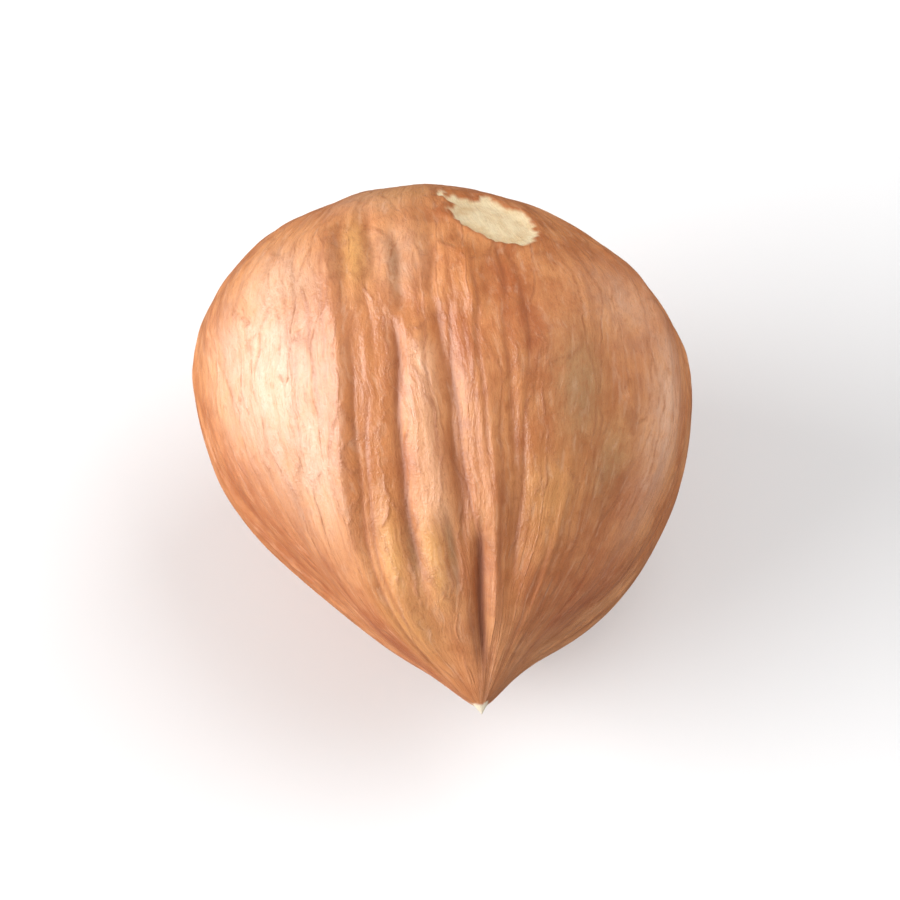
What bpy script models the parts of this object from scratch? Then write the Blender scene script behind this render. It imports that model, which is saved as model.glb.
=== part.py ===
"""A shelled hazelnut kernel with its skin on, lying on its side, tip towards -Y; metres, +Z up."""
import math
from typing import NamedTuple

import bmesh
import bpy
import numpy as np
from mathutils import Matrix

# Driving dimensions, in metres.
WIDTH = 0.0140              # from the left lobe to the right lobe
THICKNESS = 0.0133          # from the furrowed face to the face below, before the flat spot
LENGTH = 0.0153             # from the base to the tip
FLAT_DEPTH = 0.00018        # height that the flat resting spot takes off the lower face
SKEW = 0.00055              # how far the right side sits nearer the tip than the middle does
LEFT_RISE = 0.00026         # how far the fuller left lobe stands out
RIGHT_RISE = 0.00012        # how far the right lobe stands out
LOWER_RISE = 0.00022        # how far the lower face stands out ahead of the widest line
FLANK_DROP = 0.00036        # how far the straight left flank falls short of a round one
SHOULDER_DROP = 0.00022     # the same for the sloping right shoulder
TIP_FLANK_DROP = 0.00032    # the same for the right flank just short of the tip
STEP_DEPTH = 0.00036        # drop from the left lobe's crest into the furrowed band
FURROW_DEPTH = 0.00034      # depth of a furrow whose share is 1
FURROW_WIDTH = 0.00028      # half the width of a furrow
RIB_HEIGHT = 0.00007        # height of the widest of the low ribs all round
SCAR_RADIUS = 0.0017        # round scar in the middle of the base
SCAR_DEPTH = 0.00030
PATCH_LENGTH = 0.0026       # bare patch near the base, which lies aslant
PATCH_WIDTH = 0.0017
PATCH_DEPTH = 0.00013
TIP_RADIUS = 0.00030        # round nub that ends the tip

# Shares and angles that shape the kernel.
BASE_SHARE = 0.37           # part of the length that lies between the base and the widest line
TAPER_POWER = 2.07          # 2 is a parabola from the widest line to the tip
DIP = math.radians(10.0)    # the tip points down by this angle

# Bearings round the axis where a line crosses the widest line: 0 is the top, + is to the right.
BAND_MIDDLE = math.radians(-12.0)
CREST = math.radians(-28.0)
FAN_START = math.radians(-1.8)
PATCH_SLANT = math.radians(34.0)    # from straight across towards the tip on the right
# How far the lines turn on their way to the ends: all drift right, those left of FAN_START fan out.
DRIFT_AHEAD = math.radians(5.5)
FAN_AHEAD = math.radians(52.0)
FAN_BEHIND = math.radians(10.0)
FAN_RETURN = math.radians(150.0)

# Mesh: rings from base to tip and points round a ring, closer together in the furrowed band.
RINGS = 48
POINTS_ROUND = 100
RINGS_BEHIND = 0.42         # share of the rings between the base and the widest line
CROWDING = 0.65             # 0 spreads the points evenly, near 1 crowds them into the band
TIP_CROWDING = 1.4          # 1 spreads the rings evenly along the taper

BASE_REACH = LENGTH * BASE_SHARE
TIP_REACH = LENGTH - BASE_REACH
HALF_WIDTH = (WIDTH - (LEFT_RISE + RIGHT_RISE) / 2) / 2    # about half of each rise is felt at the side
HALF_THICKNESS = THICKNESS / 2

SKIN_COLOUR = (0.52, 0.225, 0.098, 1.0)
SKIN_ROUGHNESS = 0.5


class Body(NamedTuple):
    """Points of the smooth body, before its relief."""

    turn: np.ndarray        # bearing at which a point's line crosses the widest line
    bearing: np.ndarray     # the point's own bearing
    run: np.ndarray         # -1 at the base, 0 at the widest line, +1 at the tip
    axial: np.ndarray       # distance along the axis from the widest line, + to the tip
    out: np.ndarray         # distance from the axis
    lean_axial: np.ndarray  # the surface normal, along the axis
    lean_out: np.ndarray    # the surface normal, away from the axis


def clear_scene():
    """Remove whatever the file starts with."""
    for item in list(bpy.data.objects):
        bpy.data.objects.remove(item, do_unlink=True)


def smooth_step(value):
    """0 below 0, 1 above 1 and an even S curve between."""
    share = np.clip(value, 0.0, 1.0)
    return share * share * (3.0 - 2.0 * share)


def stretch(run, start, end, fade):
    """1 between start and end of the run from base to tip, fading out beyond them."""
    return smooth_step((run - start) / fade + 1.0) * smooth_step((end - run) / fade + 1.0)


def bell(distance, width):
    """A rounded bump of height 1 and the given half width."""
    return np.exp(-(distance / width) ** 2)


def bearing_of(turn, run):
    """Bearing, at this run, of the line that crosses the widest line at the bearing turn."""
    past = FAN_START - turn
    fan_width = FAN_START - CREST
    fan = smooth_step(past / fan_width) * (1.0 - smooth_step((past - fan_width) / FAN_RETURN))
    ahead = np.where(run > 0.0, run ** 2, 0.0)
    behind = np.where(run < 0.0, run ** 2, 0.0)
    return turn + DRIFT_AHEAD * ahead - fan * (FAN_AHEAD * ahead + FAN_BEHIND * behind)


def smooth_body(share, turn):
    """Half an ellipse behind the widest line and a taper ahead; share runs from 0, base, to 1, tip."""
    is_behind = share < RINGS_BEHIND
    slope = np.clip((RINGS_BEHIND - share) / RINGS_BEHIND, 0.0, 1.0) * math.pi / 2
    ahead = np.clip((share - RINGS_BEHIND) / (1.0 - RINGS_BEHIND), 0.0, 1.0)
    taper = 1.0 - (1.0 - ahead) ** TIP_CROWDING
    run = taper - np.sin(slope)
    axial = TIP_REACH * taper - BASE_REACH * np.sin(slope)
    girth = np.where(is_behind, np.cos(slope), 1.0 - taper ** TAPER_POWER)
    taper_slope = TAPER_POWER * taper ** (TAPER_POWER - 1.0)
    lean_axial = np.where(is_behind, -np.sin(slope), taper_slope) * HALF_WIDTH
    lean_out = np.where(is_behind, np.cos(slope) * BASE_REACH, TIP_REACH)
    lean = np.hypot(lean_axial, lean_out)
    bearing = bearing_of(turn, run)
    return Body(turn, bearing, run, axial, girth * HALF_WIDTH, lean_axial / lean, lean_out / lean)


def turned(body, degrees):
    """Angle round the kernel from a bearing at the widest line, the short way."""
    return np.mod(body.turn - math.radians(degrees) + math.pi, 2 * math.pi) - math.pi


def swelling(body, height, bearing, spread, middle, reach):
    """A broad rise (or hollow, where height is below 0) round a bearing and a place along the run."""
    return height * bell(turned(body, bearing), math.radians(spread)) * bell(body.run - middle, reach)


def full_sides(body):
    """The two full lobes, the straighter flanks, the sloping shoulder and the lower face."""
    left = swelling(body, LEFT_RISE, bearing=-68.0, spread=36.0, middle=-0.22, reach=0.62)
    right = swelling(body, RIGHT_RISE, bearing=62.0, spread=34.0, middle=0.08, reach=0.62)
    flank = swelling(body, -FLANK_DROP, bearing=-84.0, spread=38.0, middle=0.60, reach=0.30)
    tip_flank = swelling(body, -TIP_FLANK_DROP, bearing=80.0, spread=44.0, middle=0.84, reach=0.13)
    shoulder = swelling(body, -SHOULDER_DROP, bearing=72.0, spread=40.0, middle=-0.72, reach=0.28)
    lower = swelling(body, LOWER_RISE, bearing=-170.0, spread=40.0, middle=0.26, reach=0.42)
    return left + right + flank + tip_flank + shoulder + lower


def crest_and_band(body):
    """The left lobe's crest and the step down from it into the furrowed band."""
    step_width = math.radians(10.0)
    band_width = math.radians(54.0)
    past = body.turn - CREST
    drop = smooth_step(past / step_width) * (1.0 - smooth_step(past / band_width))
    edge = bell((past + step_width / 4) * body.out, FURROW_WIDTH * 2)
    return STEP_DEPTH * (0.24 * edge - drop) * stretch(body.run, start=-0.46, end=0.45, fade=0.35)


class Furrow(NamedTuple):
    """A furrow (or ridge, where deep is below 0) along the line that crosses the widest line there."""

    crossing: float         # bearing at the widest line, in degrees
    deep: float             # share of FURROW_DEPTH
    start: float            # run where it starts and ends
    end: float
    fade: float
    wide: float = 1.0       # share of FURROW_WIDTH


FURROWS = {
    "slit": Furrow(crossing=2.0, deep=0.75, start=0.66, end=0.83, fade=0.12),
    "groove": Furrow(crossing=-3.0, deep=0.40, start=0.02, end=0.56, fade=0.15),
    "thin": Furrow(crossing=-14.5, deep=0.42, start=0.08, end=0.62, fade=0.12, wide=0.9),
    "inner": Furrow(crossing=-7.4, deep=0.30, start=0.60, end=0.70, fade=0.10),
    "right": Furrow(crossing=13.5, deep=0.22, start=0.36, end=0.64, fade=0.15),
    "top_right": Furrow(crossing=-3.6, deep=0.28, start=-0.62, end=-0.24, fade=0.15),
    "top_middle": Furrow(crossing=-12.3, deep=0.35, start=-0.50, end=-0.12, fade=0.12),
    "top_left": Furrow(crossing=-18.4, deep=0.35, start=-0.58, end=-0.32, fade=0.15),
    "top_far_left": Furrow(crossing=-25.5, deep=0.35, start=-0.58, end=-0.32, fade=0.15),
}
RIDGES = {
    "pale": Furrow(crossing=-8.5, deep=-0.38, start=0.10, end=0.52, fade=0.12, wide=1.7),
    "pink": Furrow(crossing=6.5, deep=-0.38, start=0.18, end=0.78, fade=0.18, wide=1.3),
    "orange": Furrow(crossing=5.5, deep=-0.38, start=-0.36, end=-0.10, fade=0.12, wide=1.5),
    "golden": Furrow(crossing=-11.0, deep=-0.25, start=0.60, end=0.72, fade=0.10),
    "golden_left": Furrow(crossing=-19.0, deep=-0.25, start=0.56, end=0.74, fade=0.12),
}


def furrowed_band(body):
    """The furrows and ridges of the band, which come together at the tip."""
    height = 0.0
    for line in [*FURROWS.values(), *RIDGES.values()]:
        away = (body.bearing - bearing_of(math.radians(line.crossing), body.run)) * body.out
        shape = bell(away, line.wide * FURROW_WIDTH) * stretch(body.run, line.start, line.end, line.fade)
        height = height - line.deep * FURROW_DEPTH * shape
    return height


def lower_seam(body):
    """The gentler furrow on the face below, beside the resting spot."""
    across = bell(turned(body, -142.0) * body.out, FURROW_WIDTH * 4)
    return -FURROW_DEPTH * 0.7 * across * stretch(body.run, start=-0.60, end=0.60, fade=0.35)


def waves(body, counts):
    """Waves round the kernel, the lowest count the highest, each winding a little on its way."""
    total = 0.0
    for count in counts:
        phase = 1.7 * count
        winding = 0.9 * math.cos(count)
        total = total + np.cos(count * body.turn + phase + winding * body.run) * counts[0] / count
    return total


def ribs(body):
    """Low lengthwise ribs all round, nearly smooth on the face below."""
    smoother = 1.0 - 0.7 * bell(turned(body, 180.0), math.radians(28.0))
    reach = stretch(body.run, start=-0.62, end=0.62, fade=0.34)
    return RIB_HEIGHT * waves(body, (5, 9, 14)) * smoother * reach


def base_scar(body):
    """The shallow round scar on the base, its low rim and the uneven folds that leave it."""
    dish = -SCAR_DEPTH * bell(body.out, SCAR_RADIUS * 0.8)
    rim = SCAR_DEPTH * 0.17 * bell(body.out - SCAR_RADIUS * 1.3, SCAR_RADIUS * 0.5)
    around = bell(body.out - SCAR_RADIUS * 1.6, SCAR_RADIUS * 0.8)
    folds = SCAR_DEPTH * 0.14 * waves(body, (4, 7, 12)) * around
    return np.where(body.run < 0.0, dish + rim + folds, 0.0)


def patch_distance(body):
    """Distance from the middle of the bare patch, 1 at its edge."""
    across = turned(body, 17.0) * body.out
    along = body.axial + BASE_REACH * 0.62
    lengthwise = across * math.cos(PATCH_SLANT) + along * math.sin(PATCH_SLANT)
    sideways = along * math.cos(PATCH_SLANT) - across * math.sin(PATCH_SLANT)
    away = np.hypot(lengthwise / (PATCH_LENGTH / 2), sideways / (PATCH_WIDTH / 2))
    return np.where(body.run < 0.0, away, 10.0)


def bare_patch(body):
    """The spot near the base where the skin has come off, a little below its surroundings."""
    return -PATCH_DEPTH * (1.0 - smooth_step((patch_distance(body) - 0.75) / 0.4))


def tip_hollow(body):
    """A slight hollow just short of the tip, so that the taper runs out into the nub."""
    hollow = -TIP_RADIUS * 0.37 * bell(body.out - TIP_RADIUS * 5.0, TIP_RADIUS * 3.5)
    return np.where(body.run > 0.0, hollow, 0.0)


def relief(body):
    """Height of the surface over the smooth body, along the body's own normal."""
    return (
        full_sides(body)
        + crest_and_band(body)
        + furrowed_band(body)
        + lower_seam(body)
        + ribs(body)
        + base_scar(body)
        + bare_patch(body)
        + tip_hollow(body)
    )


def kernel_points(ball):
    """Move the points of a unit ball, tip up, onto the kernel with its tip towards -Y."""
    share = 1.0 - np.arccos(np.clip(ball[:, 2], -1.0, 1.0)) / math.pi
    even = np.arctan2(ball[:, 0], ball[:, 1])
    body = smooth_body(share, even - CROWDING * np.sin(even) + BAND_MIDDLE)
    height = relief(body)
    nub = np.where(body.run > 0.0, bell(body.out, TIP_RADIUS), 0.0)
    raised = height * body.lean_out * (1.0 - nub)
    across = (body.out + raised) * np.sin(body.bearing)
    upward = (body.out * HALF_THICKNESS / HALF_WIDTH + raised) * np.cos(body.bearing)
    skewed = SKEW * np.sin(body.bearing) * body.out / HALF_WIDTH
    forward = body.axial + skewed + height * body.lean_axial - TIP_RADIUS / 2 * nub
    return np.column_stack((across, -forward, upward))


def rest_on_flat_spot(mesh):
    """Cut the flat spot under the kernel and stand it in the middle of x and y, on z = 0."""
    places = np.array([vertex.co[:] for vertex in mesh.verts])
    level = places[:, 2].min() + FLAT_DEPTH
    cut = bmesh.ops.bisect_plane(
        mesh,
        geom=mesh.verts[:] + mesh.edges[:] + mesh.faces[:],
        dist=1e-6,
        plane_co=(0, 0, level),
        plane_no=(0, 0, -1),
        clear_outer=True,
    )
    rim = [item for item in cut["geom_cut"] if isinstance(item, bmesh.types.BMEdge)]
    bmesh.ops.contextual_create(mesh, geom=rim)
    places = np.array([vertex.co[:] for vertex in mesh.verts])
    middle = (places.min(axis=0) + places.max(axis=0)) / 2
    bmesh.ops.translate(mesh, verts=mesh.verts, vec=(-middle[0], -middle[1], -level))


def kernel_mesh():
    """The kernel as one closed mesh with a flat spot to rest on."""
    mesh = bmesh.new()
    bmesh.ops.create_uvsphere(mesh, u_segments=POINTS_ROUND, v_segments=RINGS, radius=1.0)
    ball = np.array([vertex.co[:] for vertex in mesh.verts])
    for vertex, place in zip(mesh.verts, kernel_points(ball)):
        vertex.co = place
    bmesh.ops.transform(mesh, matrix=Matrix.Rotation(DIP, 4, "X"), verts=mesh.verts)
    rest_on_flat_spot(mesh)
    bmesh.ops.recalc_face_normals(mesh, faces=mesh.faces)
    for face in mesh.faces:
        face.smooth = True
    data = bpy.data.meshes.new("kernel")
    mesh.to_mesh(data)
    mesh.free()
    return data


def skin_material():
    """Thin brown papery skin."""
    material = bpy.data.materials.new("skin")
    material.use_nodes = True
    shader = material.node_tree.nodes["Principled BSDF"]
    shader.inputs["Base Color"].default_value = SKIN_COLOUR
    shader.inputs["Roughness"].default_value = SKIN_ROUGHNESS
    shader.inputs["Metallic"].default_value = 0.0
    material.diffuse_color = SKIN_COLOUR
    return material


def main():
    """Build the kernel in a collection of its own."""
    clear_scene()
    collection = bpy.data.collections.new("hazelnut")
    bpy.context.scene.collection.children.link(collection)
    kernel = bpy.data.objects.new("kernel", kernel_mesh())
    kernel.data.materials.append(skin_material())
    collection.objects.link(kernel)


main()
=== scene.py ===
"""Dresses the hazelnut kernel: a finer skin with its relief, its colours, the floor, light and camera."""
import math
from typing import NamedTuple

import bmesh
import bpy
import numpy as np
from mathutils import Matrix, Vector


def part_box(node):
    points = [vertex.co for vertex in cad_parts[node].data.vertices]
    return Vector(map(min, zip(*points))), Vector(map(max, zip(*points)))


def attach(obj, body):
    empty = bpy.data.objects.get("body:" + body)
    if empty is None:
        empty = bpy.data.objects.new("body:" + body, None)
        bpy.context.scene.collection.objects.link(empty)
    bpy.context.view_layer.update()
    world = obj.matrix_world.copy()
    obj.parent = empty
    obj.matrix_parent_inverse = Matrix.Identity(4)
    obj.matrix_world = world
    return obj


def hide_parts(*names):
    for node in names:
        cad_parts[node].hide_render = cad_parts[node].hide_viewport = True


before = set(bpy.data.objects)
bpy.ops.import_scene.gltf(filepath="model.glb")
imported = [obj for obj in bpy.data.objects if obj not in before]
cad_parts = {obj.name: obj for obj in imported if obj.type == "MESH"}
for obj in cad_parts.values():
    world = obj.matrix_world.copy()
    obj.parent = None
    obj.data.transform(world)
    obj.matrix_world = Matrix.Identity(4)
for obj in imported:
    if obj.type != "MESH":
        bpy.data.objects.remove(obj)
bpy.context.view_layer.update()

# Driving dimensions, in metres, as in the CAD source.
WIDTH = 0.0140              # from the left lobe to the right lobe
THICKNESS = 0.0133          # from the furrowed face to the face below, before the flat spot
LENGTH = 0.0153             # from the base to the tip
FLAT_DEPTH = 0.00018        # height that the flat resting spot takes off the lower face
SKEW = 0.00055              # how far the right side sits nearer the tip than the middle does
LEFT_RISE = 0.00026         # how far the fuller left lobe stands out
RIGHT_RISE = 0.00012        # how far the right lobe stands out
LOWER_RISE = 0.00022        # how far the lower face stands out ahead of the widest line
FLANK_DROP = 0.00036        # how far the straight left flank falls short of a round one
SHOULDER_DROP = 0.00022     # the same for the sloping right shoulder
TIP_FLANK_DROP = 0.00032    # the same for the right flank just short of the tip
STEP_DEPTH = 0.00036        # drop from the left lobe's crest into the furrowed band
FURROW_DEPTH = 0.00034      # depth of a furrow whose share is 1
FURROW_WIDTH = 0.00028      # half the width of a furrow
RIB_HEIGHT = 0.00007        # height of the widest of the low ribs all round
SCAR_RADIUS = 0.0017        # round scar in the middle of the base
SCAR_DEPTH = 0.00030
PATCH_LENGTH = 0.0026       # bare patch near the base, which lies aslant
PATCH_WIDTH = 0.0017
PATCH_DEPTH = 0.00013
TIP_RADIUS = 0.00030        # round nub that ends the tip

# Fine relief of the skin, which only this script adds, in metres.
CORE_DEPTH = 0.00006        # sharp bottom of each furrow
CORE_WIDTH = 0.00010
STRIA_HEIGHT = 0.000030     # fine lengthwise grain
WRINKLE_HEIGHT = 0.000022   # faint wrinkles across the right lobe
UNEVEN_HEIGHT = 0.000060    # slow unevenness all round
TORN_EDGE_HEIGHT = 0.00004  # skin curling up round the bare patch
SKIN_THICKNESS = 0.00004    # step from the skin down to the bare flesh
NUB_REACH = 0.00022         # how far the pale point stands out of the tip
NUB_RADIUS = 0.00020
CREASE_COUNT = 46           # hair-thin creases
CREASE_DEPTH = 0.00004
CREASE_WIDTH = 0.00007
CREST_SHARPNESS = 0.00005   # narrow lip of the left lobe's crest and the hollow at its foot
SCAR_ROUGHNESS = 0.00003    # cracks and grains of the base scar
SCAR_PIT = 0.00014          # depth of the small pit in its middle
LINE_WOBBLE = 0.00006       # how far furrows and ridges stray from their smooth lines
SLOW_WOBBLE = 8.0           # the two wobbles of a line, in radians from the widest line to an end
QUICK_WOBBLE = 21.0

# Edges of the colours and depths of the finish, in metres.
NUB_FADE = 0.00006          # width over which the pale tip turns to skin
SCAR_RAGGED = 0.0004        # how far the edge of the base scar strays from a circle
SCAR_FADE = 0.0008          # width over which the scar turns to skin
BUMP_DISTANCE = 0.00008     # height of the finest grain, which is left to the material
LIGHT_REACH = 0.0008        # how far light spreads under the skin
MM_PER_METRE = 1000.0       # the noises of the material are sized in millimetres

# Shares and angles that shape the kernel.
BASE_SHARE = 0.37           # part of the length that lies between the base and the widest line
TAPER_POWER = 2.07          # 2 is a parabola from the widest line to the tip
PATCH_BACK = 0.62           # 0 is a bare patch on the widest line, 1 is one on the base
GRAIN_STRETCH = 0.27        # the lower it is, the longer the fibres of the skin's grain
DIP = math.radians(10.0)    # the tip points down by this angle

# Bearings round the axis where a line crosses the widest line: 0 is the top, + is to the right.
BAND_MIDDLE = math.radians(-12.0)
CREST = math.radians(-28.0)
FAN_START = math.radians(-1.8)
PATCH_BEARING = 17.0                # middle of the bare patch, in degrees
PATCH_SLANT = math.radians(34.0)    # from straight across towards the tip on the right
STRIP_LEFT = math.radians(-25.0)    # edges of the orange strip at the foot of the crest
STRIP_RIGHT = math.radians(-18.0)
STRIP_FADE = math.radians(3.0)
# How far the lines turn on their way to the ends: all drift right, those left of FAN_START fan out.
DRIFT_AHEAD = math.radians(5.5)
FAN_AHEAD = math.radians(52.0)
FAN_BEHIND = math.radians(10.0)
FAN_RETURN = math.radians(150.0)

# Mesh: rings from base to tip and points round a ring, closer together in the furrowed band.
RINGS = 238
POINTS_ROUND = 410
RINGS_BEHIND = 0.42         # share of the rings between the base and the widest line
CROWDING = 0.45             # 0 spreads the points evenly, near 1 crowds them into the band
TIP_CROWDING = 1.4          # 1 spreads the rings evenly along the taper

BASE_REACH = LENGTH * BASE_SHARE
TIP_REACH = LENGTH - BASE_REACH
HALF_WIDTH = (WIDTH - (LEFT_RISE + RIGHT_RISE) / 2) / 2
HALF_THICKNESS = THICKNESS / 2

# Camera and light.
VIEW_AZIMUTH = math.radians(-6.0)
VIEW_ELEVATION = math.radians(62.0)
VIEW_DISTANCE = 0.36
VIEW_WIDTH = 0.0255         # width of what the camera sees at the kernel
FLOOR_SIZE = 0.8
ROOM_LIGHT = 0.38           # strength of the light that comes from all round


class Body(NamedTuple):
    """Points of the smooth body, before its relief."""

    turn: np.ndarray        # bearing at which a point's line crosses the widest line
    bearing: np.ndarray     # the point's own bearing
    run: np.ndarray         # -1 at the base, 0 at the widest line, +1 at the tip
    axial: np.ndarray       # distance along the axis from the widest line, + to the tip
    out: np.ndarray         # distance from the axis
    lean_axial: np.ndarray  # the surface normal, along the axis
    lean_out: np.ndarray    # the surface normal, away from the axis


def smooth_step(value):
    """0 below 0, 1 above 1 and an even S curve between."""
    share = np.clip(value, 0.0, 1.0)
    return share * share * (3.0 - 2.0 * share)


def stretch(run, start, end, fade):
    """1 between start and end of the run from base to tip, fading out beyond them."""
    return smooth_step((run - start) / fade + 1.0) * smooth_step((end - run) / fade + 1.0)


def bell(distance, width):
    """A rounded bump of height 1 and the given half width."""
    return np.exp(-(distance / width) ** 2)


def bearing_of(turn, run):
    """Bearing, at this run, of the line that crosses the widest line at the bearing turn."""
    past = FAN_START - turn
    fan_width = FAN_START - CREST
    fan = smooth_step(past / fan_width) * (1.0 - smooth_step((past - fan_width) / FAN_RETURN))
    ahead = np.where(run > 0.0, run ** 2, 0.0)
    behind = np.where(run < 0.0, run ** 2, 0.0)
    return turn + DRIFT_AHEAD * ahead - fan * (FAN_AHEAD * ahead + FAN_BEHIND * behind)


def smooth_body(share, turn):
    """Half an ellipse behind the widest line and a taper ahead; share runs from 0, base, to 1, tip."""
    is_behind = share < RINGS_BEHIND
    slope = np.clip((RINGS_BEHIND - share) / RINGS_BEHIND, 0.0, 1.0) * math.pi / 2
    ahead = np.clip((share - RINGS_BEHIND) / (1.0 - RINGS_BEHIND), 0.0, 1.0)
    taper = 1.0 - (1.0 - ahead) ** TIP_CROWDING
    run = taper - np.sin(slope)
    axial = TIP_REACH * taper - BASE_REACH * np.sin(slope)
    girth = np.where(is_behind, np.cos(slope), 1.0 - taper ** TAPER_POWER)
    taper_slope = TAPER_POWER * taper ** (TAPER_POWER - 1.0)
    lean_axial = np.where(is_behind, -np.sin(slope), taper_slope) * HALF_WIDTH
    lean_out = np.where(is_behind, np.cos(slope) * BASE_REACH, TIP_REACH)
    lean = np.hypot(lean_axial, lean_out)
    bearing = bearing_of(turn, run)
    return Body(turn, bearing, run, axial, girth * HALF_WIDTH, lean_axial / lean, lean_out / lean)


def turned(body, degrees):
    """Angle round the kernel from a bearing at the widest line, the short way."""
    return np.mod(body.turn - math.radians(degrees) + math.pi, 2 * math.pi) - math.pi


def patch(body, bearing, spread, middle, reach):
    """1 at a bearing and a place along the run, falling off smoothly round it."""
    return bell(turned(body, bearing), math.radians(spread)) * bell(body.run - middle, reach)


def full_sides(body):
    """The two full lobes, the straighter flanks, the sloping shoulder and the lower face."""
    left = LEFT_RISE * patch(body, bearing=-68.0, spread=36.0, middle=-0.22, reach=0.62)
    right = RIGHT_RISE * patch(body, bearing=62.0, spread=34.0, middle=0.08, reach=0.62)
    flank = -FLANK_DROP * patch(body, bearing=-84.0, spread=38.0, middle=0.60, reach=0.30)
    tip_flank = -TIP_FLANK_DROP * patch(body, bearing=80.0, spread=44.0, middle=0.84, reach=0.13)
    shoulder = -SHOULDER_DROP * patch(body, bearing=72.0, spread=40.0, middle=-0.72, reach=0.28)
    lower = LOWER_RISE * patch(body, bearing=-170.0, spread=40.0, middle=0.26, reach=0.42)
    return left + right + flank + tip_flank + shoulder + lower


def crest_and_band(body):
    """The left lobe's crest and the step down from it into the furrowed band."""
    step_width = math.radians(10.0)
    band_width = math.radians(54.0)
    past = body.turn - CREST
    drop = smooth_step(past / step_width) * (1.0 - smooth_step(past / band_width))
    edge = bell((past + step_width / 4) * body.out, FURROW_WIDTH * 2)
    return STEP_DEPTH * (0.24 * edge - drop) * stretch(body.run, start=-0.46, end=0.45, fade=0.35)


class Furrow(NamedTuple):
    """A furrow (or ridge, where deep is below 0) along the line that crosses the widest line there."""

    crossing: float         # bearing at the widest line, in degrees
    deep: float             # share of FURROW_DEPTH
    start: float            # run where it starts and ends
    end: float
    fade: float
    wide: float = 1.0       # share of FURROW_WIDTH


FURROWS = {
    "slit": Furrow(crossing=2.0, deep=0.75, start=0.66, end=0.83, fade=0.12),
    "groove": Furrow(crossing=-3.0, deep=0.40, start=0.02, end=0.56, fade=0.15),
    "thin": Furrow(crossing=-14.5, deep=0.42, start=0.08, end=0.62, fade=0.12, wide=0.9),
    "inner": Furrow(crossing=-7.4, deep=0.30, start=0.60, end=0.70, fade=0.10),
    "right": Furrow(crossing=13.5, deep=0.22, start=0.36, end=0.64, fade=0.15),
    "top_right": Furrow(crossing=-3.6, deep=0.28, start=-0.62, end=-0.24, fade=0.15),
    "top_middle": Furrow(crossing=-12.3, deep=0.35, start=-0.50, end=-0.12, fade=0.12),
    "top_left": Furrow(crossing=-18.4, deep=0.35, start=-0.58, end=-0.32, fade=0.15),
    "top_far_left": Furrow(crossing=-25.5, deep=0.35, start=-0.58, end=-0.32, fade=0.15),
}
RIDGES = {
    "pale": Furrow(crossing=-8.5, deep=-0.38, start=0.10, end=0.52, fade=0.12, wide=1.7),
    "pink": Furrow(crossing=6.5, deep=-0.38, start=0.18, end=0.78, fade=0.18, wide=1.3),
    "orange": Furrow(crossing=5.5, deep=-0.38, start=-0.36, end=-0.10, fade=0.12, wide=1.5),
    "golden": Furrow(crossing=-11.0, deep=-0.25, start=0.60, end=0.72, fade=0.10),
    "golden_left": Furrow(crossing=-19.0, deep=-0.25, start=0.56, end=0.74, fade=0.12),
}


def shape_of(body, furrow, width):
    """1 along the line of a furrow or ridge, falling off to either side within the given half width."""
    away = (body.bearing - bearing_of(math.radians(furrow.crossing), body.run)) * body.out
    phase = furrow.crossing
    wobble = np.sin(SLOW_WOBBLE * body.run + phase) + 0.6 * np.sin(QUICK_WOBBLE * body.run + 2.0 * phase)
    away = away + LINE_WOBBLE * wobble * np.clip(body.out / HALF_WIDTH * 2.0, 0.0, 1.0)
    return bell(away, width) * stretch(body.run, furrow.start, furrow.end, furrow.fade)


def furrowed_band(body):
    """The furrows and ridges of the band, which come together at the tip."""
    height = 0.0
    for line in [*FURROWS.values(), *RIDGES.values()]:
        height = height - line.deep * FURROW_DEPTH * shape_of(body, line, line.wide * FURROW_WIDTH)
    return height


def lower_seam(body):
    """The gentler furrow on the face below, beside the resting spot."""
    across = bell(turned(body, -142.0) * body.out, FURROW_WIDTH * 4)
    return -FURROW_DEPTH * 0.7 * across * stretch(body.run, start=-0.60, end=0.60, fade=0.35)


def waves(body, counts):
    """Waves round the kernel, the lowest count the highest, each winding a little on its way."""
    total = 0.0
    for count in counts:
        phase = 1.7 * count
        winding = 0.9 * math.cos(count)
        total = total + np.cos(count * body.turn + phase + winding * body.run) * counts[0] / count
    return total


def ribs(body):
    """Low lengthwise ribs all round, nearly smooth on the face below."""
    smoother = 1.0 - 0.7 * bell(turned(body, 180.0), math.radians(28.0))
    reach = stretch(body.run, start=-0.62, end=0.62, fade=0.34)
    return RIB_HEIGHT * waves(body, (5, 9, 14)) * smoother * reach


def base_scar(body):
    """The shallow round scar on the base, its low rim and the uneven folds that leave it."""
    dish = -SCAR_DEPTH * bell(body.out, SCAR_RADIUS * 0.8)
    rim = SCAR_DEPTH * 0.17 * bell(body.out - SCAR_RADIUS * 1.3, SCAR_RADIUS * 0.5)
    around = bell(body.out - SCAR_RADIUS * 1.6, SCAR_RADIUS * 0.8)
    folds = SCAR_DEPTH * 0.14 * waves(body, (4, 7, 12)) * around
    return np.where(body.run < 0.0, dish + rim + folds, 0.0)


def patch_distance(body):
    """Distance from the middle of the bare patch, 1 at its edge."""
    across = turned(body, PATCH_BEARING) * body.out
    along = body.axial + BASE_REACH * PATCH_BACK
    lengthwise = across * math.cos(PATCH_SLANT) + along * math.sin(PATCH_SLANT)
    sideways = along * math.cos(PATCH_SLANT) - across * math.sin(PATCH_SLANT)
    away = np.hypot(lengthwise / (PATCH_LENGTH / 2), sideways / (PATCH_WIDTH / 2))
    return np.where(body.run < 0.0, away, 10.0)


def bare_patch(body):
    """The spot near the base where the skin has come off, a little below its surroundings."""
    return -PATCH_DEPTH * (1.0 - smooth_step((patch_distance(body) - 0.75) / 0.4))


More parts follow.
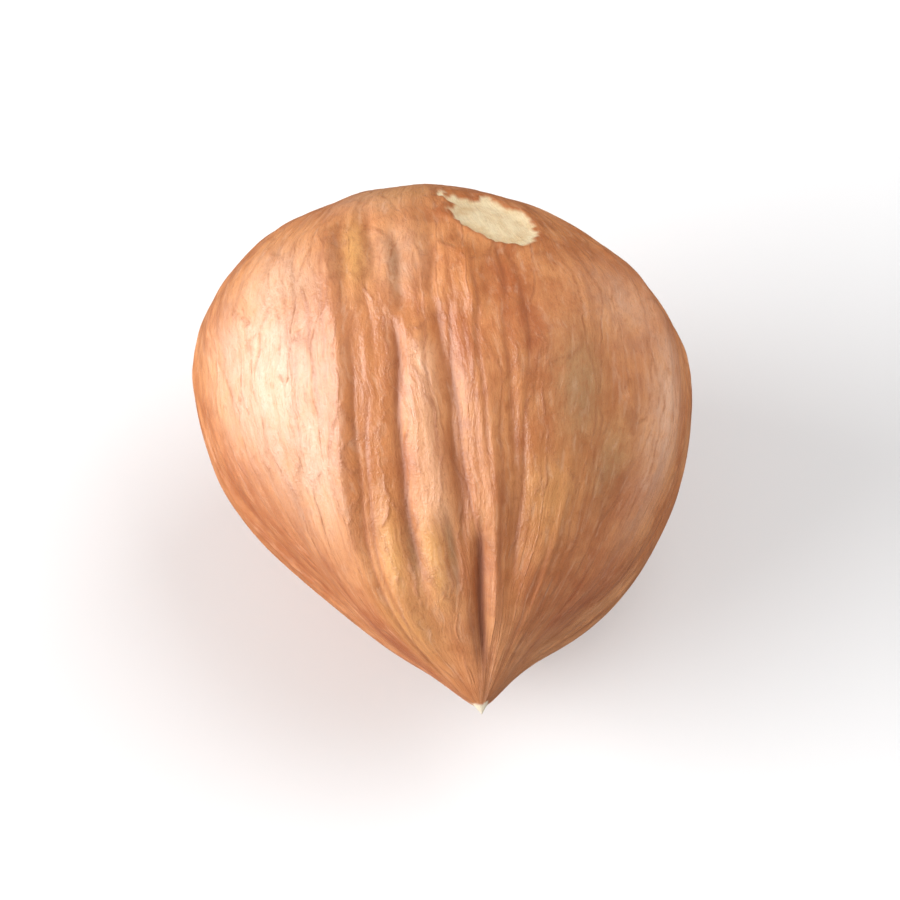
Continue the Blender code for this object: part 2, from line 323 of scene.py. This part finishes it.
def tip_hollow(body):
    """A slight hollow just short of the tip, so that the taper runs out into the nub."""
    hollow = -TIP_RADIUS * 0.37 * bell(body.out - TIP_RADIUS * 5.0, TIP_RADIUS * 3.5)
    return np.where(body.run > 0.0, hollow, 0.0)


def grain(body, around, along, seed):
    """Smooth noise from -1 to 1 that repeats round the kernel, with this many cells round and along."""
    cells = np.random.default_rng(seed).uniform(-1.0, 1.0, (around, along + 3))
    across = np.mod(body.turn / (2 * math.pi), 1.0) * around
    ahead = (body.run + 1.0) / 2.0 * along
    column = np.floor(across).astype(int)
    row = np.floor(ahead).astype(int)
    right = smooth_step(across - column)
    front = smooth_step(ahead - row)
    here = cells[column % around, row] * (1 - front) + cells[column % around, row + 1] * front
    beside = cells[(column + 1) % around, row] * (1 - front) + cells[(column + 1) % around, row + 1] * front
    return here * (1 - right) + beside * right


def crest_lip(body):
    """The narrow lip along the left lobe's crest (above 0) and the hollow at its foot (below 0)."""
    past = body.turn - CREST
    lip = bell(past * body.out, 2 * CORE_WIDTH)
    foot = bell((past - math.radians(4.0)) * body.out, 2 * CORE_WIDTH)
    return (lip - foot) * stretch(body.run, start=-0.40, end=0.55, fade=0.25)


def fine_creases(body):
    """Share from 0 to 1 of the hair-thin creases that run along the kernel, most of them in the band."""
    draws = np.random.default_rng(21)
    total = 0.0
    for number in range(CREASE_COUNT):
        spread = 30.0 if number % 2 else 180.0
        crossing = math.degrees(BAND_MIDDLE) + draws.uniform(-spread, spread)
        middle = draws.uniform(-0.45, 0.65)
        reach = draws.uniform(0.10, 0.34)
        deep = draws.uniform(0.3, 1.0) * (1.0 if number % 2 else 0.5)
        line = Furrow(crossing, deep, middle - reach, middle + reach, fade=0.20)
        total = np.maximum(total, deep * shape_of(body, line, CREASE_WIDTH))
    return total


def torn_distance(body):
    """Distance from the middle of the bare patch, 1 where the skin is torn off in a ragged line."""
    coarse = 0.20 * grain(body, around=52, along=36, seed=11)
    fine = 0.10 * grain(body, around=150, along=90, seed=14)
    return patch_distance(body) + coarse + fine


def fine_relief(body):
    """Sharp furrow bottoms, lengthwise grain, faint wrinkles across, slow unevenness and torn skin."""
    calm_ends = stretch(body.run, start=-0.80, end=0.86, fade=0.18)
    cores = 0.0
    for line in FURROWS.values():
        cores = cores - line.deep * CORE_DEPTH * shape_of(body, line, CORE_WIDTH)
    stria = grain(body, around=190, along=7, seed=3) + 0.6 * grain(body, around=97, along=5, seed=4)
    uneven = grain(body, around=13, along=6, seed=5) + 0.5 * grain(body, around=29, along=14, seed=6)
    right_lobe = patch(body, bearing=45.0, spread=34.0, middle=-0.05, reach=0.42)
    across = grain(body, around=17, along=58, seed=7) * right_lobe
    narrowing = np.clip(1.4 * body.out / HALF_WIDTH, 0.0, 1.0)
    fine = STRIA_HEIGHT * stria * narrowing + UNEVEN_HEIGHT * uneven + WRINKLE_HEIGHT * across
    fine = fine - CREASE_DEPTH * fine_creases(body) + CREST_SHARPNESS * crest_lip(body)
    cracks = grain(body, around=44, along=60, seed=15) + grain(body, around=21, along=90, seed=16)
    scar = SCAR_ROUGHNESS * cracks * np.where(body.run < 0.0, bell(body.out, SCAR_RADIUS * 1.1), 0.0)
    centre = np.where(body.run < 0.0, -SCAR_PIT * bell(body.out, SCAR_RADIUS * 0.22), 0.0)
    torn = torn_distance(body)
    curl = TORN_EDGE_HEIGHT * bell(torn - 1.08, 0.10)
    flesh = -SKIN_THICKNESS * (1.0 - smooth_step((torn - 0.94) / 0.06))
    return cores + fine * calm_ends + scar + centre + curl + flesh


def relief(body):
    """Height of the surface over the smooth body, along the body's own normal."""
    return (
        full_sides(body)
        + crest_and_band(body)
        + furrowed_band(body)
        + lower_seam(body)
        + ribs(body)
        + base_scar(body)
        + bare_patch(body)
        + tip_hollow(body)
        + fine_relief(body)
    )


def body_of_ball(ball):
    """The smooth body's points for the points of a unit ball, tip up."""
    share = 1.0 - np.arccos(np.clip(ball[:, 2], -1.0, 1.0)) / math.pi
    even = np.arctan2(ball[:, 0], ball[:, 1])
    return smooth_body(share, even - CROWDING * np.sin(even) + BAND_MIDDLE)


def kernel_points(body):
    """Places of the body's points on the finished surface, tip towards -Y."""
    height = relief(body)
    nub = np.where(body.run > 0.0, bell(body.out, TIP_RADIUS), 0.0)
    raised = height * body.lean_out * (1.0 - nub)
    across = (body.out + raised) * np.sin(body.bearing)
    upward = (body.out * HALF_THICKNESS / HALF_WIDTH + raised) * np.cos(body.bearing)
    skewed = SKEW * np.sin(body.bearing) * body.out / HALF_WIDTH
    forward = body.axial + skewed + height * body.lean_axial - TIP_RADIUS / 2 * nub
    point = np.where(body.run > 0.0, NUB_REACH * bell(body.out, NUB_RADIUS), 0.0)
    return np.column_stack((across, -forward - point, upward))


def laid_down(points):
    """Tip the points by the dip, press the resting spot flat and stand them on z = 0."""
    turn = np.array(Matrix.Rotation(DIP, 3, "X"))
    points = points @ turn.T
    level = points[:, 2].min() + FLAT_DEPTH
    points[:, 2] = np.maximum(points[:, 2], level)
    middle = (points.min(axis=0) + points.max(axis=0)) / 2
    return points - np.array((middle[0], middle[1], level))


DARKER_FURROWS = {"slit": 1.7, "thin": 1.7}     # darker than their depth makes the others
RIDGE_TONES = {"pale": 1.0, "pink": 0.10}       # how much paler than the skin two ridges are


def line_marks(body):
    """Shares of the dark bottoms of the furrows and of the pale ridges."""
    furrow = 0.0
    for name, line in FURROWS.items():
        dark = DARKER_FURROWS.get(name, 1.0)
        furrow = np.maximum(furrow, dark * line.deep * shape_of(body, line, CORE_WIDTH * 1.2))
    ridge = 0.0
    for name, tone in RIDGE_TONES.items():
        line = RIDGES[name]
        ridge = np.maximum(ridge, tone * shape_of(body, line, line.wide * FURROW_WIDTH * 0.9))
    return {
        "furrow": np.clip(furrow, 0.0, 1.0),
        "ridge": ridge * smooth_step((body.run - 0.02) / 0.10),
    }


def bare_marks(body):
    """Shares of the bare flesh, the torn edge round it, the pale tip and the base scar."""
    is_behind = body.run < 0.0
    torn = torn_distance(body)
    bare = 1.0 - smooth_step((torn - 0.95) / 0.06)
    tip_edge = NUB_RADIUS * (0.95 + 0.35 * grain(body, around=9, along=3, seed=13))
    tip = 1.0 - smooth_step((body.out - tip_edge) / NUB_FADE)
    ragged = body.out + SCAR_RAGGED * grain(body, around=13, along=9, seed=12)
    scar = 1.0 - smooth_step((ragged - SCAR_RADIUS) / SCAR_FADE)
    return {
        "bare": bare,
        "torn_edge": bell(torn - 1.06, 0.09) * (1.0 - bare),
        "tip": np.where(body.run > 0.0, tip, 0.0),
        "scar": np.where(is_behind, scar, 0.0),
        "scar_core": np.where(is_behind, bell(ragged, SCAR_RADIUS * 0.28), 0.0),
    }


class Smudge(NamedTuple):
    """A soft-edged spot on the skin, of one tone or of painted highlight or shade."""

    tone: float             # share of the tone in its middle
    bearing: float          # round the kernel, in degrees
    spread: float           # half its width, in degrees
    middle: float           # run where its middle lies
    reach: float            # half its length along the run


SMUDGES = {
    "olive": [
        Smudge(tone=1.0, bearing=30.0, spread=8.0, middle=0.19, reach=0.18),
        Smudge(tone=0.8, bearing=42.0, spread=7.0, middle=0.37, reach=0.13),
        Smudge(tone=0.3, bearing=-35.0, spread=5.0, middle=-0.22, reach=0.12),
        Smudge(tone=1.0, bearing=-7.4, spread=1.1, middle=0.63, reach=0.09),
        Smudge(tone=1.0, bearing=-15.0, spread=1.0, middle=0.62, reach=0.09),
        Smudge(tone=0.7, bearing=-12.3, spread=1.4, middle=-0.30, reach=0.20),
        Smudge(tone=0.6, bearing=160.0, spread=30.0, middle=0.30, reach=0.30),
    ],
    "golden": [
        Smudge(tone=0.9, bearing=-22.0, spread=2.8, middle=-0.42, reach=0.22),
        Smudge(tone=0.9, bearing=-19.0, spread=2.6, middle=0.64, reach=0.13),
        Smudge(tone=0.9, bearing=-11.2, spread=2.2, middle=0.65, reach=0.12),
        Smudge(tone=0.7, bearing=-22.0, spread=9.0, middle=0.79, reach=0.12),
        Smudge(tone=0.5, bearing=24.0, spread=8.0, middle=0.49, reach=0.12),
        Smudge(tone=0.5, bearing=-12.0, spread=16.0, middle=-0.82, reach=0.10),
    ],
    "orange": [
        Smudge(tone=1.0, bearing=1.0, spread=4.0, middle=0.04, reach=0.09),
        Smudge(tone=0.8, bearing=15.0, spread=6.0, middle=0.70, reach=0.13),
        Smudge(tone=0.5, bearing=-62.0, spread=9.0, middle=0.42, reach=0.14),
    ],
    # The pale smudges at bearings -50, -37 and -43 on the left lobe are a painted highlight of the window
    # light. The one at 60 on the right rim is painted sheen. The others are paler skin.
    "pale": [
        Smudge(tone=1.0, bearing=-50.0, spread=19.0, middle=0.10, reach=0.36),
        Smudge(tone=1.0, bearing=-37.0, spread=9.0, middle=0.36, reach=0.20),
        Smudge(tone=0.9, bearing=-43.0, spread=13.0, middle=-0.28, reach=0.20),
        Smudge(tone=0.6, bearing=-12.0, spread=7.0, middle=-0.38, reach=0.20),
        Smudge(tone=0.5, bearing=48.0, spread=14.0, middle=-0.16, reach=0.22),
        Smudge(tone=0.4, bearing=-20.0, spread=14.0, middle=-0.76, reach=0.12),
        Smudge(tone=0.8, bearing=60.0, spread=9.0, middle=0.20, reach=0.30),
        Smudge(tone=0.5, bearing=-165.0, spread=34.0, middle=-0.20, reach=0.35),
    ],
    # The red-brown smudges low on the flanks at bearings 59, -54 and -80 are painted shade. The others are
    # redder skin.
    "red_and_shade": [
        Smudge(tone=1.0, bearing=59.0, spread=17.0, middle=0.72, reach=0.15),
        Smudge(tone=0.4, bearing=54.0, spread=8.0, middle=0.45, reach=0.10),
        Smudge(tone=1.0, bearing=-54.0, spread=22.0, middle=0.80, reach=0.17),
        Smudge(tone=0.8, bearing=-80.0, spread=18.0, middle=0.50, reach=0.24),
        Smudge(tone=0.8, bearing=14.0, spread=5.0, middle=-0.22, reach=0.13),
        Smudge(tone=0.5, bearing=2.0, spread=5.0, middle=0.06, reach=0.10),
        Smudge(tone=0.3, bearing=5.0, spread=4.0, middle=0.30, reach=0.16),
        Smudge(tone=0.5, bearing=19.0, spread=7.0, middle=0.02, reach=0.14),
        Smudge(tone=0.5, bearing=-140.0, spread=30.0, middle=0.10, reach=0.50),
    ],
}


def smudged(body, smudges):
    """Share of one tone where its smudges lie."""
    return np.maximum.reduce([
        smudge.tone * patch(body, smudge.bearing, smudge.spread, smudge.middle, smudge.reach)
        for smudge in smudges
    ])


def tone_marks(body):
    """Shares of the skin's broad tones, among them a painted highlight and painted shade. The orange also
    follows a strip of the band and a ridge.
    """
    tones = {name: smudged(body, smudges) for name, smudges in SMUDGES.items()}
    strip = stretch(body.turn, STRIP_LEFT, STRIP_RIGHT, STRIP_FADE)
    strip = strip * stretch(body.run, start=0.05, end=0.46, fade=0.20)
    ridge = shape_of(body, RIDGES["orange"], FURROW_WIDTH * 1.6)
    tones["orange"] = np.maximum.reduce([strip, ridge, tones["orange"]])
    return tones


def marks(body):
    """Where each colour of the skin lies, as shares from 0 to 1."""
    lines = line_marks(body)
    bare = bare_marks(body)
    tones = tone_marks(body)
    return {**lines, "crease": fine_creases(body), **bare, **tones}


def fine_kernel():
    """The kernel's skin as a mesh, with its colour marks and its grain direction on its points."""
    mesh = bmesh.new()
    bmesh.ops.create_uvsphere(mesh, u_segments=POINTS_ROUND, v_segments=RINGS, radius=1.0)
    ball = np.array([vertex.co[:] for vertex in mesh.verts])
    body = body_of_ball(ball)
    # The ball's faces look outward, and moving its points keeps them so.
    for vertex, place in zip(mesh.verts, laid_down(kernel_points(body))):
        vertex.co = place
    data = bpy.data.meshes.new("kernel_skin")
    mesh.to_mesh(data)
    mesh.free()
    data.shade_smooth()
    for name, share in marks(body).items():
        layer = data.attributes.new(name, "FLOAT", "POINT")
        layer.data.foreach_set("value", np.asarray(share, dtype=np.float32) * np.ones(len(ball), np.float32))
    lengthwise = np.column_stack((np.cos(body.turn), np.sin(body.turn), body.run * GRAIN_STRETCH))
    layer = data.attributes.new("lengthwise", "FLOAT_VECTOR", "POINT")
    layer.data.foreach_set("vector", lengthwise.astype(np.float32).ravel())
    piece = bpy.data.objects.new("kernel_skin", data)
    bpy.context.scene.collection.objects.link(piece)
    return piece


class Nodes:
    """Short calls for building a material's node tree."""

    def __init__(self, material):
        material.use_nodes = True
        self.tree = material.node_tree
        self.shader = self.tree.nodes["Principled BSDF"]

    def add(self, kind, inputs=None, **settings):
        """A node of this kind with its settings and inputs; an input is a value or an output."""
        node = self.tree.nodes.new(kind)
        for name, value in settings.items():
            setattr(node, name, value)
        for name, value in (inputs or {}).items():
            self.plug(node.inputs[name], value)
        return node

    def plug(self, socket, value):
        """Set a socket to a value, or link it to an output."""
        if isinstance(value, bpy.types.NodeSocket):
            self.tree.links.new(value, socket)
        else:
            socket.default_value = value

    def mark(self, name):
        """The share stored on the mesh under this name."""
        return self.add("ShaderNodeAttribute", attribute_name=name).outputs["Fac"]

    def noise(self, vector, scale, detail=4.0, roughness=0.55, distortion=0.0):
        """Noise from 0 to 1."""
        inputs = {"Vector": vector, "Scale": scale, "Detail": detail, "Roughness": roughness}
        inputs["Distortion"] = distortion
        return self.add("ShaderNodeTexNoise", inputs).outputs["Fac"]

    def cell_edges(self, vector, scale):
        """Distance to the nearest border between cells of random shape."""
        inputs = {"Vector": vector, "Scale": scale}
        return self.add("ShaderNodeTexVoronoi", inputs, feature="DISTANCE_TO_EDGE").outputs["Distance"]

    def warped(self, vector, by, scale, reach):
        """The vector pushed about by slow noise."""
        drift = self.add("ShaderNodeTexNoise", {"Vector": by, "Scale": scale, "Detail": 3.0}).outputs["Color"]
        centred = self.add("ShaderNodeVectorMath", {0: drift, 1: (0.5, 0.5, 0.5)}, operation="SUBTRACT")
        push = self.add("ShaderNodeVectorMath", {0: centred.outputs[0], 1: reach}, operation="MULTIPLY")
        return self.add("ShaderNodeVectorMath", {0: vector, 1: push.outputs[0]}, operation="ADD").outputs[0]

    def span(self, value, low, high, to_low=0.0, to_high=1.0):
        """The value's stretch from low to high, spread over another stretch and clamped to it."""
        inputs = {"Value": value, "From Min": low, "From Max": high, "To Min": to_low, "To Max": to_high}
        return self.add("ShaderNodeMapRange", inputs).outputs["Result"]

    def math(self, operation, first, second=0.0):
        """Arithmetic on two values."""
        return self.add("ShaderNodeMath", {0: first, 1: second}, operation=operation).outputs[0]

    def blend(self, share, under, over, kind="MIX"):
        """One colour over another."""
        node = self.add("ShaderNodeMix", data_type="RGBA", blend_type=kind)
        self.plug(node.inputs[0], share)
        self.plug(node.inputs[6], under)
        self.plug(node.inputs[7], over)
        return node.outputs[2]

    def tint(self, colour, share, tone, strength):
        """The tone over the colour, where the share says."""
        return self.blend(self.math("MULTIPLY", share, strength), colour, tone)


# Colours of the skin and flesh, linear.
BROWN = (0.53, 0.180, 0.056, 1.0)
DARK_BROWN = (0.34, 0.095, 0.026, 1.0)
LIGHT_BROWN = (0.66, 0.275, 0.100, 1.0)
FURROW_BROWN = (0.26, 0.066, 0.017, 1.0)
VEIN_BROWN = (0.30, 0.085, 0.030, 1.0)
RIDGE_PINK = (0.80, 0.430, 0.235, 1.0)
GOLDEN = (0.74, 0.375, 0.120, 1.0)
ORANGE = (0.58, 0.205, 0.058, 1.0)
OLIVE_TAN = (0.36, 0.215, 0.100, 1.0)
# Red-brown skin, also the colour of the painted shade low on the flanks.
RED_BROWN_AND_SHADE = (0.38, 0.080, 0.020, 1.0)
# Pale skin, also the colour of the painted highlight and the painted sheen.
PALE_SKIN_AND_HIGHLIGHT = (0.80, 0.510, 0.350, 1.0)
CREAM = (0.80, 0.64, 0.40, 1.0)
FLESH_TAN = (0.66, 0.45, 0.23, 1.0)
NUB_WHITE = (0.82, 0.70, 0.53, 1.0)
SCAR_TAN = (0.60, 0.365, 0.190, 1.0)
PAPER_WHITE = (0.80, 0.80, 0.805, 1.0)
WHITE = (1.0, 1.0, 1.0, 1.0)


class Patterns(NamedTuple):
    """Outputs of the noises that run through the skin, each from 0 to 1."""

    fibres: bpy.types.NodeSocket        # thin lengthwise fibres
    streaks: bpy.types.NodeSocket       # broad lengthwise streaks
    hairs: bpy.types.NodeSocket         # the finest lengthwise lines
    veins: bpy.types.NodeSocket         # broken net of thin veins, drawn out lengthwise
    blotches: bpy.types.NodeSocket      # broad light and dark areas
    mottling: bpy.types.NodeSocket      # smaller ones
    pores: bpy.types.NodeSocket


def skin_patterns(nodes):
    """The noises, sized in the grain's own space or in millimetres."""
    lengthwise = nodes.add("ShaderNodeAttribute", attribute_name="lengthwise").outputs["Vector"]
    place = nodes.add("ShaderNodeTexCoord").outputs["Object"]
    scaled = nodes.add("ShaderNodeVectorMath", {0: place, "Scale": MM_PER_METRE}, operation="SCALE")
    millimetres = scaled.outputs[0]
    grain_lines = nodes.warped(lengthwise, by=millimetres, scale=0.35, reach=(0.18, 0.18, 0.06))
    near_vein = nodes.span(nodes.cell_edges(grain_lines, scale=7.5), 0.0, 0.06, 1.0, 0.0)
    mottling = nodes.noise(millimetres, scale=1.7, detail=6.0, roughness=0.68)
    return Patterns(
        fibres=nodes.noise(grain_lines, scale=34.0, detail=5.0, roughness=0.62),
        streaks=nodes.noise(grain_lines, scale=8.0, detail=4.0, roughness=0.55, distortion=0.4),
        hairs=nodes.noise(grain_lines, scale=95.0, detail=3.0, roughness=0.6),
        veins=nodes.math("MULTIPLY", near_vein, nodes.span(mottling, 0.40, 0.60)),
        blotches=nodes.noise(millimetres, scale=0.42, detail=3.0, roughness=0.6),
        mottling=mottling,
        pores=nodes.noise(millimetres, scale=10.0, detail=3.0, roughness=0.6),
    )


def skin_colour(nodes, pattern):
    """The browns of the skin, with a painted highlight and painted shade among the broad tones: the broad
    tones first, then the grain, the creases and the furrows.
    """
    streaks = pattern.streaks
    mottling = pattern.mottling
    layers = (
        (nodes.span(streaks, 0.50, 0.68), DARK_BROWN, 0.60),
        (nodes.span(mottling, 0.50, 0.36), DARK_BROWN, 0.35),
        # Painted highlight on the left lobe and painted sheen on the right rim, with some paler skin.
        (nodes.mark("pale"), PALE_SKIN_AND_HIGHLIGHT, nodes.span(mottling, 0.30, 0.65, 0.95, 0.55)),
        (nodes.mark("orange"), ORANGE, nodes.span(streaks, 0.35, 0.65, 0.80, 0.35)),
        (nodes.mark("golden"), GOLDEN, 0.85),
        (nodes.mark("olive"), OLIVE_TAN, nodes.span(mottling, 0.35, 0.60, 0.40, 0.85)),
        # Painted shade low on the flanks, with redder skin elsewhere.
        (nodes.mark("red_and_shade"), RED_BROWN_AND_SHADE, nodes.span(streaks, 0.35, 0.60, 0.45, 0.90)),
        (nodes.span(mottling, 0.52, 0.74), LIGHT_BROWN, 0.45),
        (nodes.mark("ridge"), RIDGE_PINK, nodes.span(streaks, 0.35, 0.65, 0.80, 0.40)),
        (pattern.veins, VEIN_BROWN, 0.42),
        (nodes.span(pattern.fibres, 0.52, 0.70), DARK_BROWN, 0.27),
        (nodes.span(pattern.fibres, 0.46, 0.30), PALE_SKIN_AND_HIGHLIGHT, 0.26),
        (nodes.span(pattern.hairs, 0.54, 0.64), DARK_BROWN, 0.24),
        (nodes.span(pattern.pores, 0.60, 0.70), DARK_BROWN, 0.28),
        (nodes.mark("crease"), VEIN_BROWN, 0.55),
        (nodes.mark("furrow"), FURROW_BROWN, 0.90),
    )
    colour = nodes.blend(nodes.span(pattern.blotches, 0.40, 0.64), BROWN, LIGHT_BROWN)
    for share, tone, strength in layers:
        colour = nodes.tint(colour, share, tone, strength)
    return colour


def scar_colour(nodes, pattern):
    """Dull tan of the base scar, dotted with brown and dark in its middle."""
    colour = nodes.blend(nodes.span(pattern.mottling, 0.36, 0.62), SCAR_TAN, LIGHT_BROWN)
    colour = nodes.tint(colour, nodes.span(pattern.pores, 0.50, 0.66), DARK_BROWN, 0.4)
    return nodes.tint(colour, nodes.mark("scar_core"), VEIN_BROWN, 0.8)


def kernel_colour(nodes, pattern):
    """The skin, and over it the base scar, the torn edge, the bare flesh and the pale tip."""
    skin = skin_colour(nodes, pattern)
    colour = nodes.tint(skin, nodes.mark("scar"), scar_colour(nodes, pattern), 0.8)
    colour = nodes.tint(colour, nodes.mark("torn_edge"), DARK_BROWN, 0.45)
    flesh = nodes.blend(nodes.span(pattern.mottling, 0.40, 0.68), CREAM, FLESH_TAN)
    colour = nodes.blend(nodes.mark("bare"), colour, flesh)
    return nodes.blend(nodes.mark("tip"), colour, NUB_WHITE)


def with_shares(nodes, total, parts):
    """The total and a share of each part."""
    for part, share in parts:
        total = nodes.math("ADD", total, nodes.math("MULTIPLY", part, share))
    return total


def skin_roughness(nodes, pattern):
    """Satin skin, duller in the furrows and on the bare flesh."""
    satin = nodes.span(pattern.mottling, 0.3, 0.7, 0.36, 0.47)
    return with_shares(nodes, satin, ((nodes.mark("furrow"), 0.2), (nodes.mark("bare"), 0.12)))


def skin_bump(nodes, pattern):
    """The finest grain of the skin, as a bump."""
    parts = ((pattern.pores, 0.35), (pattern.hairs, 0.12), (pattern.veins, 0.45))
    height = with_shares(nodes, pattern.fibres, parts)
    bump = nodes.add("ShaderNodeBump", {"Height": height, "Strength": 0.60, "Distance": BUMP_DISTANCE})
    return bump.outputs["Normal"]


def skin_material():
    """Papery skin with lengthwise grain, mottling, dark furrows, pale ridges, bare flesh, a painted highlight
    and painted shade.
    """
    material = bpy.data.materials.new("kernel_skin")
    nodes = Nodes(material)
    pattern = skin_patterns(nodes)
    looks = {
        "Base Color": kernel_colour(nodes, pattern),
        "Roughness": skin_roughness(nodes, pattern),
        "Normal": skin_bump(nodes, pattern),
        "Specular IOR Level": 0.9,
        "Sheen Weight": 0.03,
        "Sheen Roughness": 0.45,
        "Subsurface Weight": 0.06,
        "Subsurface Radius": (1.0, 0.5, 0.25),
        "Subsurface Scale": LIGHT_REACH,
    }
    for name, value in looks.items():
        nodes.plug(nodes.shader.inputs[name], value)
    return material


def floor_material():
    """Matt white paper."""
    material = bpy.data.materials.new("floor_paper")
    nodes = Nodes(material)
    nodes.plug(nodes.shader.inputs["Base Color"], PAPER_WHITE)
    nodes.plug(nodes.shader.inputs["Roughness"], 0.8)
    return material


def make_floor():
    """A wide pale floor under the kernel, kept out of its gloss."""
    mesh = bmesh.new()
    bmesh.ops.create_grid(mesh, x_segments=1, y_segments=1, size=FLOOR_SIZE / 2)
    data = bpy.data.meshes.new("floor")
    mesh.to_mesh(data)
    mesh.free()
    data.materials.append(floor_material())
    floor = bpy.data.objects.new("floor", data)
    bpy.context.scene.collection.objects.link(floor)
    floor.visible_glossy = False


def aimed(name, data, place, target):
    """An object whose -Z looks from its place at the target."""
    thing = bpy.data.objects.new(name, data)
    thing.location = place
    thing.rotation_mode = "QUATERNION"
    thing.rotation_quaternion = (target - place).to_track_quat("-Z", "Y")
    bpy.context.scene.collection.objects.link(thing)
    return thing


def soft_light(name, target, direction, distance, size, power):
    """A square soft box that shines on the target from a direction."""
    data = bpy.data.lights.new(name, "AREA")
    data.shape = "SQUARE"
    data.size = size
    data.energy = power
    return aimed(name, data, target + Vector(direction).normalized() * distance, target)


def make_lights(target):
    """Window light from the left, the only one in the gloss, a wide ceiling and a dim white room."""
    soft_light("window", target, (-0.93, -0.08, 0.38), distance=0.30, size=0.32, power=1.80)
    ceiling = soft_light("ceiling", target, (0.62, 0.20, 0.76), distance=0.80, size=0.90, power=6.0)
    ceiling.visible_glossy = False
    world = bpy.data.worlds.new("white_room")
    world.use_nodes = True
    background = world.node_tree.nodes["Background"]
    background.inputs["Color"].default_value = WHITE
    background.inputs["Strength"].default_value = ROOM_LIGHT
    world.cycles_visibility.glossy = False
    bpy.context.scene.world = world
    bpy.context.scene.view_settings.view_transform = "Standard"


def make_camera(target):
    """A long lens that looks down on the kernel at the photograph's angle."""
    back = Vector((
        math.sin(VIEW_AZIMUTH) * math.cos(VIEW_ELEVATION),
        -math.cos(VIEW_AZIMUTH) * math.cos(VIEW_ELEVATION),
        math.sin(VIEW_ELEVATION),
    ))
    data = bpy.data.cameras.new("camera")
    data.lens = data.sensor_width * VIEW_DISTANCE / VIEW_WIDTH
    data.clip_start = VIEW_DISTANCE / 10
    data.clip_end = VIEW_DISTANCE * 10
    bpy.context.scene.camera = aimed("camera", data, target + back * VIEW_DISTANCE, target)


kernel = fine_kernel()
kernel.data.materials.append(skin_material())
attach(kernel, "root")
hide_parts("kernel")

low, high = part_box("kernel")
kernel_middle = (Vector(low) + Vector(high)) / 2
make_floor()
make_lights(kernel_middle)
make_camera(kernel_middle)
